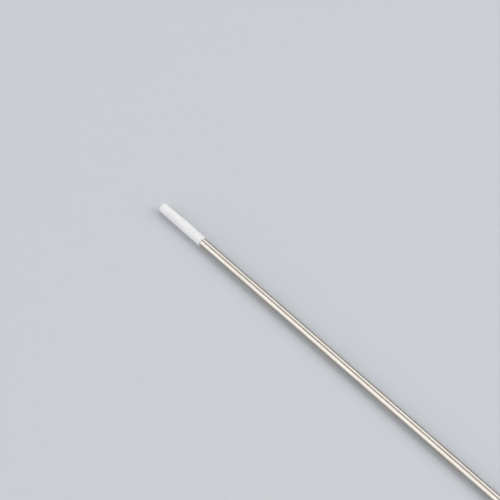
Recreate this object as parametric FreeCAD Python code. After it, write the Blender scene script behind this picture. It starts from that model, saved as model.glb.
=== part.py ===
import FreeCAD, Part
import math
import os

# TIG welding electrode: a ground tungsten rod with a thick dipped coat of white paint over one end.
# Millimetres. The rod's axis is X. The origin is on the axis at the collar, where the coat ends and
# the bare shank begins. +X runs along the bare shank to the plain end, and the white end is at -X.

# Rod
rod_diameter = 1.6
rod_length = 150.0
end_chamfer = 0.2       # edge break at both cut ends, at 45 degrees

# Coat, measured along X from the collar and outwards from the rod
coat_length = 10.8      # from the collar to the crown of the tip
coat_at_collar = 0.11   # paint on the rod's wall at the square step
coat_at_belly = 0.15    # where the dipped paint ran thickest
belly_from_collar = 0.4 * coat_length
coat_at_tip = 0.075     # where the wall runs out into the tip
coat_on_end = 0.18      # paint on the rod's cut end, at the axis
crown_rise = 0.07       # how far the tip's crown stands out past its rim
tip_round = 0.45        # between the wall and the crown
collar_round = 0.03     # the paint's edge at the step, all but sharp

# Places along X
rod_radius = rod_diameter / 2
rod_start = coat_on_end - coat_length
rod_end = rod_start + rod_length
tip_rim = crown_rise - coat_length


def at(x, r):
    """The point at x along the rod and r out from its axis, in the half plane that the sections lie in."""
    return FreeCAD.Vector(x, 0, r)


def line(start, end):
    return Part.LineSegment(start, end).toShape()


def arc(start, middle, end):
    return Part.Arc(start, middle, end).toShape()


def revolved(edges):
    """The solid that a closed half section makes when it turns about the rod's axis."""
    section = Part.Face(Part.Wire(edges))
    turned = section.revolve(FreeCAD.Vector(0, 0, 0), FreeCAD.Vector(1, 0, 0), 360)
    solid = Part.Solid(turned.Shells[0]) if turned.ShapeType != "Solid" else turned
    if solid.Volume < 0:
        solid.reverse()
    return solid


def rounded(first, second, corner, radius):
    """Two edges that meet at a corner, with a round of that radius let in between them."""
    section_plane = Part.Plane(FreeCAD.Vector(0, 0, 0), FreeCAD.Vector(0, -1, 0))
    fillet = Part.ChFi2d.FilletAPI(first, second, section_plane)
    if not fillet.perform(radius):
        raise ValueError(f"no room for a round of {radius} mm at x {corner.x:.3f}, r {corner.z:.3f}")
    round_edge, first, second = fillet.result(corner)
    return first, round_edge, second


def rod_end_outline():
    """The rod's painted end from the axis to the wall: the cut face, then its edge break."""
    face_edge = at(rod_start, rod_radius - end_chamfer)
    return [at(rod_start, 0), face_edge, at(rod_start + end_chamfer, rod_radius)]


def tungsten_rod():
    outline = rod_end_outline()
    outline += [
        at(rod_end - end_chamfer, rod_radius),
        at(rod_end, rod_radius - end_chamfer),
        at(rod_end, 0),
    ]
    closed = outline + outline[:1]
    return revolved([line(a, b) for a, b in zip(closed, closed[1:])])


def white_end_coat():
    """A skin of paint: inside it seats face to face on the rod, and outside it has a belly and a crown."""
    seat = rod_end_outline() + [at(0, rod_radius)]
    collar = at(0, rod_radius + coat_at_collar)
    belly = at(-belly_from_collar, rod_radius + coat_at_belly)
    rim = at(tip_rim, rod_radius + coat_at_tip)
    crown = at(-coat_length, 0)
    # the crown is part of a ball whose centre is on the axis
    crown_radius = (rim.z ** 2 + crown_rise ** 2) / (2 * crown_rise)
    half_way = math.asin(rim.z / crown_radius) / 2
    on_crown = at(crown_radius * (1 - math.cos(half_way)) - coat_length, crown_radius * math.sin(half_way))

    step = line(seat[-1], collar)
    wall = arc(collar, belly, rim)
    end = arc(rim, on_crown, crown)
    step, lip, wall = rounded(step, wall, collar, collar_round)
    wall, shoulder, end = rounded(wall, end, rim, tip_round)
    inside = [line(a, b) for a, b in zip(seat, seat[1:])]
    return revolved(inside + [step, lip, wall, shoulder, end, line(crown, seat[0])])


nodes = {
    "tungsten_rod": tungsten_rod,
    "white_end_coat": white_end_coat,
}

os.makedirs("parts", exist_ok=True)
for name, make in nodes.items():
    shape = make()
    shape.exportStep(f"parts/{name}.step")
    print(f"{name}: {len(shape.Solids)} solid, {shape.Volume:.3f} mm3, valid {shape.isValid()}")
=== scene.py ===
import math

import bmesh
import bpy
import numpy as np
from mathutils import Euler, Matrix, Vector


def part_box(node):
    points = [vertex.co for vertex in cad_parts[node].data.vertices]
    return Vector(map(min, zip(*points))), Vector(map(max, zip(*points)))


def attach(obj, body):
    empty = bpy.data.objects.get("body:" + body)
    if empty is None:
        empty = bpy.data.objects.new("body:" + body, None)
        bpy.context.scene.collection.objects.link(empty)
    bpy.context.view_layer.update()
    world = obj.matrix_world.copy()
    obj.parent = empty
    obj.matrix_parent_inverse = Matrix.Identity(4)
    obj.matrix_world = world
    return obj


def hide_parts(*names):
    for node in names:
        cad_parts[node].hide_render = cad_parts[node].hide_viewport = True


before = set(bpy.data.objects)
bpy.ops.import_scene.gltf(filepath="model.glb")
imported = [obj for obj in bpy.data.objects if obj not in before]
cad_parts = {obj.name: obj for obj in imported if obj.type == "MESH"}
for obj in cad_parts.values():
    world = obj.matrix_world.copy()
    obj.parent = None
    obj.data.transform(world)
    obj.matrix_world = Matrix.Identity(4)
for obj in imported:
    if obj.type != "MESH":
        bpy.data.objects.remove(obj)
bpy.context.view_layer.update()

# Dresses the white-ended tungsten electrode: a turned rod, a dipped coat of paint, their finishes,
# and a plain studio round them. The rod lies along X, with the coat's collar at the origin.
# Blender's units are metres, and a length in a dictionary is in mm unless the note beside it says m.

mm = 0.001


# Small helpers

def colour(hexCode):  # sRGB hex to the linear colour that Blender's sockets take
    values = [int(hexCode[i:i + 2], 16) / 255 for i in (1, 3, 5)]
    return [v / 12.92 if v <= 0.04045 else ((v + 0.055) / 1.055) ** 2.4 for v in values] + [1.0]


def addNode(tree, kind, sockets=None, **settings):
    # A socket is given a value, an output, or a node, whose first output it then takes.
    # A Mix node of colours takes its share at socket 0 and its colours at 6 and 7, and gives output 2.
    node = tree.nodes.new(kind)
    for name, value in settings.items():
        setattr(node, name, value)
    for socket, value in (sockets or {}).items():
        if isinstance(value, bpy.types.Node):
            value = value.outputs[0]
        if isinstance(value, bpy.types.NodeSocket):
            tree.links.new(value, node.inputs[socket])
        else:
            node.inputs[socket].default_value = value
    return node


def newMaterial(name):
    material = bpy.data.materials.new(name)
    material.use_nodes = True
    material.node_tree.nodes.clear()
    return material, material.node_tree


# Camera

view = {
    "azimuth": 46.97,  # degrees, 0 looks along +Y and 90 along -X
    "elevation": 52.76,
    "roll": 0.30,
    "distance": 373.0,  # to the collar
    "lens": 153.55,
    "sensor": 36.0,
    "clip": (0.01, 20),  # m
    "picture": 500,  # pixels a side
    "collarPixel": (202.8, 242.1),  # where the collar's centre lies in the picture
}


def makeCamera():
    camera = bpy.data.objects.new("camera", bpy.data.cameras.new("camera"))
    bpy.context.scene.collection.objects.link(camera)
    camera.data.lens = view["lens"]
    camera.data.sensor_width = view["sensor"]
    camera.data.clip_start, camera.data.clip_end = view["clip"]
    turn = Euler((math.radians(90 - view["elevation"]), 0, math.radians(view["azimuth"]))).to_matrix()
    turn = turn @ Matrix.Rotation(math.radians(view["roll"]), 3, "Z")
    perPixel = view["sensor"] / view["lens"] / view["picture"]
    aside = (view["collarPixel"][0] - view["picture"] / 2) * perPixel
    above = (view["picture"] / 2 - view["collarPixel"][1]) * perPixel
    collarFromCamera = Vector((aside, above, -1)) * view["distance"] * mm
    camera.matrix_world = Matrix.Translation(-(turn @ collarFromCamera)) @ turn.to_4x4()
    bpy.context.scene.camera = camera


makeCamera()
print("camera placed")


# Turned pieces: both the rod and its coat are half sections turned about X

turning = {
    "roundStep": 9,  # degrees between the points of a round
    "fewestSteps": 4,  # in any round
    "flatRun": 1 / 3,  # of a round's radius, left straight on both sides of it
    "waveDetail": 2,
    "edgeLobes": 1.3,  # the wander's noise scale on a circle of radius 1
    "edgeDetail": 3,
    "noiseMiddle": 0.5,  # taken off a noise, so that it pushes as much in as out
    "weld": 1e-8,  # m, under which two points are one
    "endFacing": 0.95,  # how far along X a face points where it counts as an end
}


def roundedRun(corners, longest):
    # Corners (x, r, round, give) in mm become points (x, r, give) with every round let in.
    # Give says how far, from 0 to 1, a point yields to the mounds, the waves and the sag.
    points = []
    for i, (x, r, radius, give) in enumerate(corners):
        here = Vector((x, r))
        if radius == 0:
            points.append((x, r, give))
            continue
        back = (Vector(corners[i - 1][:2]) - here).normalized()
        on = (Vector(corners[i + 1][:2]) - here).normalized()
        half = back.angle(on) / 2
        reach = radius / math.tan(half)
        straight = reach + radius * turning["flatRun"]
        centre = here + (back + on).normalized() * radius / math.sin(half)
        start = here + back * reach - centre
        sweep = math.pi - 2 * half
        side = math.copysign(1, start.x * on.y - start.y * on.x)
        steps = max(turning["fewestSteps"], round(math.degrees(sweep) / turning["roundStep"]))
        points.append((*(here + back * straight), give))
        for k in range(steps + 1):
            spoke = Matrix.Rotation(side * sweep * k / steps, 2) @ start
            points.append((*(centre + spoke), give))
        points.append((*(here + on * straight), give))
    dense = points[:1]
    for before, after in zip(points, points[1:]):
        parts = math.ceil(math.dist(before[:2], after[:2]) / longest)
        dense += [tuple(np.interp(k / parts, (0, 1), pair) for pair in zip(before, after))
                  for k in range(1, parts + 1)]
    return dense


# An input that a piece leaves out is 0, and what it sizes then pushes nothing.
treeInputs = {
    "Outline": "NodeSocketGeometry",
    "Sides": "NodeSocketInt",
    "Sag": "NodeSocketVector",
    "Swelling place": "NodeSocketVector",
    "Swelling size": "NodeSocketVector",
    "Swelling height": "NodeSocketFloat",
    "Bead place": "NodeSocketVector",
    "Bead size": "NodeSocketVector",
    "Bead height": "NodeSocketFloat",
    "Wave length": "NodeSocketFloat",
    "Wave height": "NodeSocketFloat",
    "Edge reach": "NodeSocketFloat",
    "Edge wander": "NodeSocketFloat",
    "Seed": "NodeSocketFloat",
    "Wall finish": "NodeSocketMaterial",
    "End finish": "NodeSocketMaterial",
}


def makeTurnedTree():  # turns an outline of points into a closed surface, then pushes it in and out
    tree = bpy.data.node_groups.new("turnedPiece", "GeometryNodeTree")
    for name, kind in treeInputs.items():
        tree.interface.new_socket(name, in_out="INPUT", socket_type=kind)
    tree.interface.new_socket("Piece", in_out="OUTPUT", socket_type="NodeSocketGeometry")
    given = addNode(tree, "NodeGroupInput").outputs

    # a sheet 1 by 1 round its middle, of one column for each side and one row for each outline point
    count = addNode(tree, "GeometryNodeAttributeDomainSize", {
        "Geometry": given["Outline"]}).outputs["Point Count"]
    columns = addNode(tree, "ShaderNodeMath", {0: given["Sides"], 1: 1}, operation="ADD")
    sheet = addNode(tree, "GeometryNodeMeshGrid", {
        "Size X": 1, "Size Y": 1, "Vertices X": columns, "Vertices Y": count})
    mapped = addNode(tree, "GeometryNodeStoreNamedAttribute", {
        "Geometry": sheet, "Name": "turned", "Value": sheet.outputs["UV Map"]},
        data_type="FLOAT2", domain="CORNER")

    # each row takes its place along the rod, X, and its radius, Z, from its outline point
    halfSheet = 0.5
    place = addNode(tree, "GeometryNodeInputPosition")
    onSheet = addNode(tree, "ShaderNodeSeparateXYZ", {0: place}).outputs
    fromFirst = addNode(tree, "ShaderNodeMath", {0: onSheet["Y"], 1: halfSheet}, operation="ADD")
    lastRow = addNode(tree, "ShaderNodeMath", {0: count, 1: 1}, operation="SUBTRACT")
    row = addNode(tree, "ShaderNodeMath", {0: fromFirst, 1: lastRow}, operation="MULTIPLY")
    row = addNode(tree, "ShaderNodeMath", {0: row}, operation="ROUND")
    point = addNode(tree, "GeometryNodeSampleIndex", {
        "Geometry": given["Outline"], "Value": place, "Index": row}, data_type="FLOAT_VECTOR")
    give = addNode(tree, "GeometryNodeInputNamedAttribute", {"Name": "give"}, data_type="FLOAT")
    give = addNode(tree, "GeometryNodeSampleIndex", {
        "Geometry": given["Outline"], "Value": give, "Index": row}, data_type="FLOAT")
    along = addNode(tree, "ShaderNodeSeparateXYZ", {0: point}).outputs

    # each column turns about X, from nothing to one full turn
    turn = addNode(tree, "ShaderNodeMath", {
        0: onSheet["X"], 1: math.tau, 2: math.pi}, operation="MULTIPLY_ADD")
    cosine = addNode(tree, "ShaderNodeMath", {0: turn}, operation="COSINE")
    sine = addNode(tree, "ShaderNodeMath", {0: turn}, operation="SINE")
    outwards = addNode(tree, "ShaderNodeCombineXYZ", {"Y": cosine, "Z": sine})
    onAxis = addNode(tree, "ShaderNodeCombineXYZ", {"X": along["X"]})
    spoke = addNode(tree, "ShaderNodeVectorMath", {0: outwards, "Scale": along["Z"]}, operation="SCALE")
    surface = addNode(tree, "ShaderNodeVectorMath", {0: spoke, 1: onAxis}, operation="ADD")

    # soft mounds, each a bell round its place
    rise = 0.0
    for mound in ("Swelling", "Bead"):
        offset = addNode(tree, "ShaderNodeVectorMath", {
            0: surface, 1: given[mound + " place"]}, operation="SUBTRACT")
        offset = addNode(tree, "ShaderNodeVectorMath", {
            0: offset, 1: given[mound + " size"]}, operation="DIVIDE")
        far = addNode(tree, "ShaderNodeVectorMath", {0: offset, 1: offset}, operation="DOT_PRODUCT")
        fall = addNode(tree, "ShaderNodeMath", {0: far.outputs["Value"], 1: -1}, operation="MULTIPLY")
        bell = addNode(tree, "ShaderNodeMath", {0: fall}, operation="EXPONENT")
        rise = addNode(tree, "ShaderNodeMath", {
            0: bell, 1: given[mound + " height"], 2: rise}, operation="MULTIPLY_ADD")

    # long low waves
    often = addNode(tree, "ShaderNodeMath", {0: 1, 1: given["Wave length"]}, operation="DIVIDE")
    waves = addNode(tree, "ShaderNodeTexNoise", {
        "Vector": surface, "W": given["Seed"], "Scale": often, "Detail": turning["waveDetail"]},
        noise_dimensions="4D")
    wave = addNode(tree, "ShaderNodeMath", {0: waves, 1: turning["noiseMiddle"]}, operation="SUBTRACT")
    rise = addNode(tree, "ShaderNodeMath", {
        0: wave, 1: given["Wave height"], 2: rise}, operation="MULTIPLY_ADD")
    rise = addNode(tree, "ShaderNodeMath", {0: rise, 1: give}, operation="MULTIPLY")

    # the collar's edge wanders a little along the rod
    fade = addNode(tree, "ShaderNodeMath", {0: along["X"], 1: given["Edge reach"]}, operation="DIVIDE")
    fade = addNode(tree, "ShaderNodeMath", {0: fade, 1: 2}, operation="POWER")
    fade = addNode(tree, "ShaderNodeMath", {0: fade, 1: -1}, operation="MULTIPLY")
    fade = addNode(tree, "ShaderNodeMath", {0: fade}, operation="EXPONENT")
    edge = addNode(tree, "ShaderNodeTexNoise", {
        "Vector": outwards, "W": given["Seed"], "Scale": turning["edgeLobes"],
        "Detail": turning["edgeDetail"]}, noise_dimensions="4D")
    edge = addNode(tree, "ShaderNodeMath", {0: edge, 1: turning["noiseMiddle"]}, operation="SUBTRACT")
    edge = addNode(tree, "ShaderNodeMath", {0: edge, 1: given["Edge wander"]}, operation="MULTIPLY")
    edge = addNode(tree, "ShaderNodeMath", {0: edge, 1: fade}, operation="MULTIPLY")

    # everything that pushes the turned surface
    lifted = addNode(tree, "ShaderNodeVectorMath", {0: outwards, "Scale": rise}, operation="SCALE")
    hung = addNode(tree, "ShaderNodeVectorMath", {0: given["Sag"], "Scale": give}, operation="SCALE")
    shifted = addNode(tree, "ShaderNodeCombineXYZ", {"X": edge})
    final = surface
    for push in (lifted, hung, shifted):
        final = addNode(tree, "ShaderNodeVectorMath", {0: final, 1: push}, operation="ADD")

    # one closed mesh, with its own finish on the faces that look along the rod
    shape = addNode(tree, "GeometryNodeSetPosition", {"Geometry": mapped, "Position": final})
    shape = addNode(tree, "GeometryNodeMergeByDistance", {"Geometry": shape, "Distance": turning["weld"]})
    shape = addNode(tree, "GeometryNodeSetShadeSmooth", {"Geometry": shape})
    shape = addNode(tree, "GeometryNodeRealizeInstances", {"Geometry": shape})
    shape = addNode(tree, "GeometryNodeSetMaterial", {"Geometry": shape, "Material": given["Wall finish"]})
    facing = addNode(tree, "ShaderNodeSeparateXYZ", {0: addNode(tree, "GeometryNodeInputNormal")}).outputs
    endwards = addNode(tree, "ShaderNodeMath", {0: facing["X"]}, operation="ABSOLUTE")
    isEnd = addNode(tree, "ShaderNodeMath", {
        0: endwards, 1: turning["endFacing"]}, operation="GREATER_THAN")
    shape = addNode(tree, "GeometryNodeSetMaterial", {
        "Geometry": shape, "Selection": isEnd, "Material": given["End finish"]})
    addNode(tree, "NodeGroupOutput", {"Piece": shape})
    return tree


turnedTree = makeTurnedTree()
print("turning tree made")


def turnPiece(name, outline, inputs):
    line = bpy.data.meshes.new(name + "_outline")
    line.from_pydata([(x * mm, 0, r * mm) for x, r, give in outline], [], [])
    gives = line.attributes.new("give", "FLOAT", "POINT")
    gives.data.foreach_set("value", [give for x, r, give in outline])
    piece = bpy.data.objects.new(name, line)
    bpy.context.scene.collection.objects.link(piece)
    modifier = piece.modifiers.new("turning", "NODES")
    modifier.node_group = turnedTree
    for item in turnedTree.interface.items_tree:
        if item.in_out == "INPUT" and item.name in inputs:
            modifier[item.identifier] = inputs[item.name]
    made = bpy.data.meshes.new_from_object(piece.evaluated_get(bpy.context.evaluated_depsgraph_get()))
    piece.modifiers.clear()
    piece.data = made
    made.name = name
    bpy.data.meshes.remove(line)
    shape = bmesh.new()
    shape.from_mesh(made)
    bmesh.ops.recalc_face_normals(shape, faces=shape.faces)
    openEdges = sum(not edge.is_manifold for edge in shape.edges)
    volume = shape.calc_volume() / mm ** 3
    print(f"{name}: {len(shape.faces)} faces, {openEdges} open edges, {volume:.3f} mm3")
    shape.to_mesh(made)
    shape.free()
    return piece


# Finishes. A range gives where in a noise something begins and where it is full.

groundFinish = {
    "colour": "#CEC8BF",
    "dull": "#B4ADA6",  # soft patches that storage and handling leave
    "dullShare": 0.35,  # how much of that colour shows where a patch is full
    "patch": 7.0,
    "patchDetail": 3,
    "patchRange": (0.35, 0.8),
    "roughness": (0.21, 0.27),  # of the smoothest and the roughest grinding line
    "grain": 0.22,  # between grinding lines: the real ones, about 0.01 mm, are too fine to show
    "grainLength": 2.5,  # of a line, round the rod
    "grainDetail": 4,
    "grainRoughness": 0.6,  # of the noise: how strong each finer layer is beside the one before it
    "grainRange": (0.3, 0.7),
    "grainTone": (0.93, 1.04),  # of the darkest and the palest line
    "grainDepth": 0.0006,
    "scratchLength": 5.0,
    "scratchWidth": 0.07,
    "scratchDetail": 1,
    "scratchRange": (0.68, 0.76),
    "scratchRoughness": 0.08,  # on top of the line's
    "scratchDepth": 0.6,  # of the grain's depth
    "anisotropy": 0.6,
    "anisotropyTurn": 0.25,  # of a full turn from the lines
}


def makeGroundTungsten():
    # Centreless-ground tungsten: a bright, slightly warm grey. The wheel's lines run round the rod,
    # so reflections keep their edges across it and are drawn out along it.
    material, tree = newMaterial("centrelessGroundTungsten")
    place = addNode(tree, "ShaderNodeTexCoord").outputs["Object"]

    # grinding lines round the rod, scratches along it, and soft patches
    along = 1 / (groundFinish["grain"] * mm)
    around = 1 / (groundFinish["grainLength"] * mm)
    drawn = addNode(tree, "ShaderNodeMapping", {"Vector": place, "Scale": (along, around, around)})
    lines = addNode(tree, "ShaderNodeTexNoise", {
        "Vector": drawn, "Scale": 1, "Detail": groundFinish["grainDetail"],
        "Roughness": groundFinish["grainRoughness"]})
    along = 1 / (groundFinish["scratchLength"] * mm)
    around = 1 / (groundFinish["scratchWidth"] * mm)
    drawn = addNode(tree, "ShaderNodeMapping", {"Vector": place, "Scale": (along, around, around)})
    scratches = addNode(tree, "ShaderNodeTexNoise", {
        "Vector": drawn, "Scale": 1, "Detail": groundFinish["scratchDetail"]})
    begins, full = groundFinish["scratchRange"]
    scratch = addNode(tree, "ShaderNodeMapRange", {
        "Value": scratches, "From Min": begins, "From Max": full})
    patches = addNode(tree, "ShaderNodeTexNoise", {
        "Vector": place, "Scale": 1 / (groundFinish["patch"] * mm), "Detail": groundFinish["patchDetail"]})

    # colour: duller in the patches, and darker or paler from line to line
    begins, full = groundFinish["patchRange"]
    dulled = addNode(tree, "ShaderNodeMapRange", {
        "Value": patches, "From Min": begins, "From Max": full, "To Max": groundFinish["dullShare"]})
    base = addNode(tree, "ShaderNodeMix", {
        0: dulled, 6: colour(groundFinish["colour"]), 7: colour(groundFinish["dull"])}, data_type="RGBA")
    begins, full = groundFinish["grainRange"]
    darkest, palest = groundFinish["grainTone"]
    toned = addNode(tree, "ShaderNodeMapRange", {
        "Value": lines, "From Min": begins, "From Max": full, "To Min": darkest, "To Max": palest})
    tone = addNode(tree, "ShaderNodeVectorMath", {0: base.outputs[2], "Scale": toned}, operation="SCALE")

    # roughness and relief
    smoothest, roughest = groundFinish["roughness"]
    rough = addNode(tree, "ShaderNodeMapRange", {
        "Value": lines, "From Min": begins, "From Max": full, "To Min": smoothest, "To Max": roughest})
    rougher = addNode(tree, "ShaderNodeMath", {
        0: scratch, 1: groundFinish["scratchRoughness"], 2: rough}, operation="MULTIPLY_ADD")
    relief = addNode(tree, "ShaderNodeMath", {
        0: scratch, 1: -groundFinish["scratchDepth"], 2: lines}, operation="MULTIPLY_ADD")
    bump = addNode(tree, "ShaderNodeBump", {
        "Height": relief, "Distance": groundFinish["grainDepth"] * mm, "Strength": 1})

    roundRod = addNode(tree, "ShaderNodeTangent", direction_type="UV_MAP", uv_map="turned")
    metal = addNode(tree, "ShaderNodeBsdfPrincipled", {
        "Base Color": tone, "Roughness": rougher, "Metallic": 1, "Normal": bump, "Tangent": roundRod,
        "Anisotropic": groundFinish["anisotropy"],
        "Anisotropic Rotation": groundFinish["anisotropyTurn"]})
    addNode(tree, "ShaderNodeOutputMaterial", {"Surface": metal})
    return material


cutFinish = {
    "colour": "#B9B3AC",
    "dark": "#8E8983",
    "roughness": 0.38,
    "lines": 0.05,  # between the cut-off wheel's lines
    "lineLength": 1.67,
    "lineDetail": 3,
    "waver": 0.4,  # how far a line strays from straight
    "tilt": 24,  # degrees from level
    "depth": 0.002,
}


def makeCutTungsten():
    # Tungsten parted with a thin wheel: duller than the ground wall, with straight lines across the face.
    material, tree = newMaterial("cutTungsten")
    place = addNode(tree, "ShaderNodeTexCoord").outputs["Object"]
    across = 1 / (cutFinish["lines"] * mm)
    along = 1 / (cutFinish["lineLength"] * mm)
    tilt = math.radians(cutFinish["tilt"])
    drawn = addNode(tree, "ShaderNodeMapping", {
        "Vector": place, "Rotation": (tilt, 0, 0), "Scale": (along, along, across)})
    lines = addNode(tree, "ShaderNodeTexNoise", {
        "Vector": drawn, "Scale": 1, "Detail": cutFinish["lineDetail"], "Distortion": cutFinish["waver"]})
    base = addNode(tree, "ShaderNodeMix", {
        0: lines, 6: colour(cutFinish["dark"]), 7: colour(cutFinish["colour"])}, data_type="RGBA")
    bump = addNode(tree, "ShaderNodeBump", {
        "Height": lines, "Distance": cutFinish["depth"] * mm, "Strength": 1})
    metal = addNode(tree, "ShaderNodeBsdfPrincipled", {
        "Base Color": base.outputs[2], "Roughness": cutFinish["roughness"], "Metallic": 1, "Normal": bump})
    addNode(tree, "ShaderNodeOutputMaterial", {"Surface": metal})
    return material


enamelFinish = {
    "colour": "#E4E3E2",
    "mottle": "#D3D3D4",
    "mottleShare": 0.62,  # how much of that colour shows where the mottle is full
    "mottleRange": (0.5, 0.85),
    "speck": "#C3C1BE",
    "speckEvery": 1.1,  # the size of a cell, which holds one speck or none
    "speckSize": 0.06,
    "speckCore": 0.6,  # of its reach, within which a speck is full
    "speckChance": 0.4,  # that a cell holds one
    "roughness": (0.41, 0.51),  # where the paint dried smoothest and roughest
    "ior": 1.5,
    "cloud": 0.9,
    "cloudDetail": 4,
    "cloudRoughness": 0.6,  # of the noise, as for the grinding lines
    "cloudRange": (0.3, 0.7),
    "peel": 0.5,  # between the dimples of its orange peel
    "peelDepth": 0.007,
    "fine": 0.12,  # the paint's own grain
    "fineDetail": 2,  # of the noises for the grain and the peel
    "fineInMottle": 0.35,  # how much of the grain goes into the mottle
    "fineInRelief": 0.2,
    "seed": 8.0,
}


def makeEnamel():
    # White enamel, dipped and dried: opaque and satin, a little mottled, with a faint orange peel
    # and here and there a speck of dust that dried in.
    material, tree = newMaterial("dippedWhiteEnamel")
    place = addNode(tree, "ShaderNodeTexCoord").outputs["Object"]
    clouds = addNode(tree, "ShaderNodeTexNoise", {
        "Vector": place, "W": enamelFinish["seed"], "Scale": 1 / (enamelFinish["cloud"] * mm),
        "Detail": enamelFinish["cloudDetail"], "Roughness": enamelFinish["cloudRoughness"]},
        noise_dimensions="4D")
    peel = addNode(tree, "ShaderNodeTexNoise", {
        "Vector": place, "Scale": 1 / (enamelFinish["peel"] * mm), "Detail": enamelFinish["fineDetail"]})
    fine = addNode(tree, "ShaderNodeTexNoise", {
        "Vector": place, "Scale": 1 / (enamelFinish["fine"] * mm), "Detail": enamelFinish["fineDetail"]})

    # mottle: the clouds, broken up by the grain
    mixed = addNode(tree, "ShaderNodeMath", {
        0: fine, 1: enamelFinish["fineInMottle"], 2: clouds}, operation="MULTIPLY_ADD")
    begins, full = enamelFinish["mottleRange"]
    share = addNode(tree, "ShaderNodeMapRange", {
        "Value": mixed, "From Min": begins, "From Max": full, "To Max": enamelFinish["mottleShare"]})
    base = addNode(tree, "ShaderNodeMix", {
        0: share, 6: colour(enamelFinish["colour"]), 7: colour(enamelFinish["mottle"])}, data_type="RGBA")

    # specks: ragged dots in some of the cells of a pattern
    ragged = addNode(tree, "ShaderNodeVectorMath", {
        0: fine.outputs["Color"], 1: (enamelFinish["speckSize"] * mm,) * 3, 2: place},
        operation="MULTIPLY_ADD")
    cells = addNode(tree, "ShaderNodeTexVoronoi", {
        "Vector": ragged, "Scale": 1 / (enamelFinish["speckEvery"] * mm)})
    reach = enamelFinish["speckSize"] / enamelFinish["speckEvery"] / 2
    near = addNode(tree, "ShaderNodeMapRange", {
        "Value": cells, "From Min": reach * enamelFinish["speckCore"], "From Max": reach,
        "To Min": 1, "To Max": 0})
    draw = addNode(tree, "ShaderNodeSeparateColor", {0: cells.outputs["Color"]})
    chosen = addNode(tree, "ShaderNodeMath", {
        0: draw, 1: 1 - enamelFinish["speckChance"]}, operation="GREATER_THAN")
    speck = addNode(tree, "ShaderNodeMath", {0: near, 1: chosen}, operation="MULTIPLY")
    marked = addNode(tree, "ShaderNodeMix", {
        0: speck, 6: base.outputs[2], 7: colour(enamelFinish["speck"])}, data_type="RGBA")

    # roughness and relief
    begins, full = enamelFinish["cloudRange"]
    smoothest, roughest = enamelFinish["roughness"]
    rough = addNode(tree, "ShaderNodeMapRange", {
        "Value": clouds, "From Min": begins, "From Max": full, "To Min": smoothest, "To Max": roughest})
    relief = addNode(tree, "ShaderNodeMath", {
        0: fine, 1: enamelFinish["fineInRelief"], 2: peel}, operation="MULTIPLY_ADD")
    bump = addNode(tree, "ShaderNodeBump", {
        "Height": relief, "Distance": enamelFinish["peelDepth"] * mm, "Strength": 1})
    paint = addNode(tree, "ShaderNodeBsdfPrincipled", {
        "Base Color": marked.outputs[2], "Roughness": rough, "IOR": enamelFinish["ior"], "Normal": bump})
    addNode(tree, "ShaderNodeOutputMaterial", {"Surface": paint})
    return material


groundTungsten = makeGroundTungsten()
cutTungsten = makeCutTungsten()
enamel = makeEnamel()
print("finishes made")


# Rod

rodLow, rodHigh = (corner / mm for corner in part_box("tungsten_rod"))
rod = {
    "radius": rodHigh.z,
    "start": rodLow.x,
    "end": rodHigh.x,
    "chamfer": 0.2,  # edge break at both ends
    "edgeRound": 0.03,
    "ringEvery": 1.0,  # at most, from one ring of points to the next
    "sides": 128,
}


def makeRod():
    face = rod["radius"] - rod["chamfer"]
    corners = [
        (rod["start"], 0),
        (rod["start"], face),
        (rod["start"] + rod["chamfer"], rod["radius"]),
        (rod["end"] - rod["chamfer"], rod["radius"]),
        (rod["end"], face),
        (rod["end"], 0),
    ]
    onAxis = (corners[0], corners[-1])
    rounded = [(*corner, 0 if corner in onAxis else rod["edgeRound"], 0) for corner in corners]
    piece = turnPiece("ground_rod", roundedRun(rounded, rod["ringEvery"]), {
        "Sides": rod["sides"], "Wall finish": groundTungsten, "End finish": cutTungsten})
    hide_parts("tungsten_rod")
    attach(piece, "root")
    return piece


rodPiece = makeRod()


# Coat

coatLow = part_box("white_end_coat")[0] / mm
coat = {
    "crown": coatLow.x,
    "crownRise": 0.07,  # how far the crown stands out past the rim
    "crownRows": 7,
    "crownClear": 1.4,  # tip rounds left free from the crown's last row to the rim
    "tipRound": 0.45,
    "tipClear": 2,  # tip rounds left free from the rim to the wall's first row
    "collarRound": 0.06,
    "collarClear": 3,  # collar rounds left free from the wall's last row to the collar
    "atTip": 0.075,  # how thick the paint is on the rod's wall
    "atBelly": 0.130,
    "atCollar": 0.11,
    "bellyAt": 0.4,  # of the way from the collar to the crown
    "wallStep": 0.3,  # from one row of the wall to the next
    "side": 34,  # degrees from +Y towards +Z: the side on which the paint ran thicker
    "sag": 0.012,  # how far the wet paint hung towards the other side
    "swellingAt": -4.1,  # along X from the collar
    "swellingSize": (2.0, 0.62, 0.62),
    "swellingHeight": 0.024,
    "beadAt": -5.2,
    "beadSize": (0.75, 0.4, 0.4),
    "beadHeight": 0.058,
    "waveLength": 1.9,
    "waveHeight": 0.022,
    "edgeReach": 0.5,  # how far from the collar its edge's wander fades
    "edgeWander": 0.06,
    "ringEvery": 0.12,
    "sides": 128,
    "seed": 7.3,
}


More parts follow.
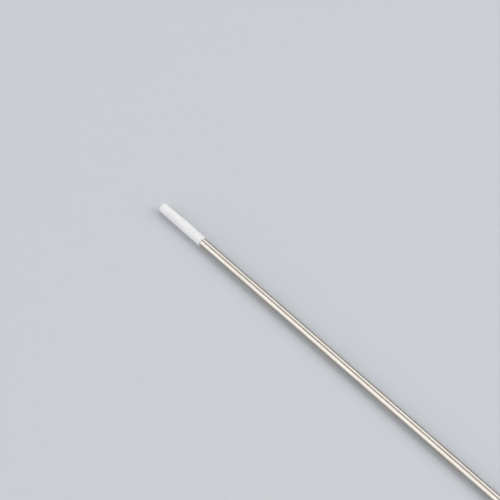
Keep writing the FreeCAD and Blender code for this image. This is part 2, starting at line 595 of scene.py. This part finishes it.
def makeCoat():
    # the crown, from the axis out to the rim, where the tip's round is let in
    rim = rod["radius"] + coat["atTip"]
    rimAt = coat["crown"] + coat["crownRise"]
    crownEdge = rim - coat["crownClear"] * coat["tipRound"]
    corners = []
    for share in np.linspace(0, 1, coat["crownRows"]):
        rise = coat["crownRise"] * (share * crownEdge / rim) ** 2
        corners.append((coat["crown"] + rise, share * crownEdge, 0, share))
    corners.append((rimAt, rim, coat["tipRound"], 1))

    # the wall, a parabola through its radii at the collar, the belly and the rim
    radii = [rod["radius"] + coat[place] for place in ("atCollar", "atBelly", "atTip")]
    belly = np.polyfit((0, coat["bellyAt"] * coat["crown"], rimAt), radii, 2)
    wallStart = rimAt + coat["tipClear"] * coat["tipRound"]
    wallEnd = -coat["collarClear"] * coat["collarRound"]
    for x in np.arange(wallStart, wallEnd, coat["wallStep"]):
        corners.append((x, np.polyval(belly, x), 0, 1))
    corners.append((0, rod["radius"] + coat["atCollar"], coat["collarRound"], 1))

    # inside, the seat on the rod's wall, edge break and cut end
    corners += [
        (0, rod["radius"], 0, 0),
        (rod["start"] + rod["chamfer"], rod["radius"], 0, 0),
        (rod["start"], rod["radius"] - rod["chamfer"], 0, 0),
        (rod["start"], 0, 0, 0),
    ]

    angle = math.radians(coat["side"])
    sideways = Vector((0, math.cos(angle), math.sin(angle)))
    onWall = sideways * (rod["radius"] + coat["atCollar"])
    piece = turnPiece("dipped_coat", roundedRun(corners, coat["ringEvery"]), {
        "Sides": coat["sides"],
        "Sag": -coat["sag"] * sideways * mm,
        "Swelling place": (onWall + Vector((coat["swellingAt"], 0, 0))) * mm,
        "Swelling size": Vector(coat["swellingSize"]) * mm,
        "Swelling height": coat["swellingHeight"] * mm,
        "Bead place": (onWall + Vector((coat["beadAt"], 0, 0))) * mm,
        "Bead size": Vector(coat["beadSize"]) * mm,
        "Bead height": coat["beadHeight"] * mm,
        "Wave length": coat["waveLength"] * mm,
        "Wave height": coat["waveHeight"] * mm,
        "Edge reach": coat["edgeReach"] * mm,
        "Edge wander": coat["edgeWander"] * mm,
        "Seed": coat["seed"],
        "Wall finish": enamel,
        "End finish": enamel})
    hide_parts("white_end_coat")
    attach(piece, "root")
    return piece


coatPiece = makeCoat()
print("rod and coat turned")


# Studio

studio = {
    "floorColour": "#BDC0C4",
    "floorRoughness": 0.85,
    "floorSize": 7.0,  # m from its middle to each edge
    "gap": 0.002,  # left under what touches the floor
    "worldColour": "#8B8C8E",
    "wallColour": "#D4D5D7",  # the paler walls beyond both ends of the rod
    "wallEdge": (0.6, 0.95),  # how far along X a direction points where the walls begin and are full
    "boxAway": 1.0,  # m from the rod's line to each softbox
    "boxes": {  # degrees up from +Y and m along X, each first and last, and what it adds to the radiance
        "nearSoftbox": (110, 179, -1.2, 0.5, 1.38),
        "farSoftbox": (30, 83, -1.2, 0.5, 1.18),
        "sideSoftbox": (20, 70, 0.5, 1.6, 3.8),
    },
}


def makeFloor():
    # It touches the coat's underside and the plain end's edge, because the thicker end tips the rod.
    coatPoints = [vertex.co for vertex in coatPiece.data.vertices]
    rodPoints = [vertex.co for vertex in rodPiece.data.vertices]
    underCoat = min(coatPoints, key=lambda point: point.z)
    lowest = min(point.z for point in rodPoints) + turning["weld"]
    underEnd = max((point for point in rodPoints if point.z < lowest), key=lambda point: point.x)
    slope = (underEnd.z - underCoat.z) / (underEnd.x - underCoat.x)
    level = underCoat.z - slope * underCoat.x - studio["gap"] * mm
    size = studio["floorSize"]
    corners = [(-size, -size), (size, -size), (size, size), (-size, size)]
    mesh = bpy.data.meshes.new("floor")
    mesh.from_pydata([(x, y, level + slope * x) for x, y in corners], [], [(0, 1, 2, 3)])
    floor = bpy.data.objects.new("floor", mesh)
    bpy.context.scene.collection.objects.link(floor)
    # matt background paper: one even grey, so that only the object's shadow shows on it
    material, tree = newMaterial("palePaper")
    paper = addNode(tree, "ShaderNodeBsdfPrincipled", {
        "Base Color": colour(studio["floorColour"]), "Roughness": studio["floorRoughness"]})
    addNode(tree, "ShaderNodeOutputMaterial", {"Surface": paper})
    mesh.materials.append(material)


def makeSoftbox(name, low, high, start, end, radiance):
    middle = math.radians((low + high) / 2)
    width = 2 * studio["boxAway"] * math.tan(math.radians(high - low) / 2)
    lamp = bpy.data.lights.new(name, "AREA")
    lamp.shape = "RECTANGLE"
    lamp.size = end - start
    lamp.size_y = width
    lamp.energy = radiance * math.pi * lamp.size * width  # watts
    box = bpy.data.objects.new(name, lamp)
    bpy.context.scene.collection.objects.link(box)
    away = Vector((0, math.cos(middle), math.sin(middle)))
    alongRod = Vector((1, 0, 0))
    axes = Matrix((alongRod, away.cross(alongRod), away)).transposed()  # a lamp shines along its own -Z
    centre = away * studio["boxAway"] + alongRod * (start + end) / 2
    box.matrix_world = Matrix.Translation(centre) @ axes.to_4x4()
    box.visible_camera = False


def makeWorld():
    world = bpy.data.worlds.new("studio")
    world.use_nodes = True
    tree = world.node_tree
    tree.nodes.clear()
    looked = addNode(tree, "ShaderNodeTexCoord").outputs["Generated"]  # in a world, the direction
    direction = addNode(tree, "ShaderNodeSeparateXYZ", {0: looked}).outputs
    endwards = addNode(tree, "ShaderNodeMath", {0: direction["X"]}, operation="ABSOLUTE")
    begins, full = studio["wallEdge"]
    wall = addNode(tree, "ShaderNodeMapRange", {
        "Value": endwards, "From Min": begins, "From Max": full}, interpolation_type="SMOOTHSTEP")
    light = addNode(tree, "ShaderNodeMix", {
        0: wall, 6: colour(studio["worldColour"]), 7: colour(studio["wallColour"])}, data_type="RGBA")
    background = addNode(tree, "ShaderNodeBackground", {"Color": light.outputs[2]})
    addNode(tree, "ShaderNodeOutputWorld", {"Surface": background})
    bpy.context.scene.world = world


makeFloor()
for name, reach in studio["boxes"].items():
    makeSoftbox(name, *reach)
makeWorld()
bpy.context.scene.view_settings.view_transform = "Standard"
print("studio lit")
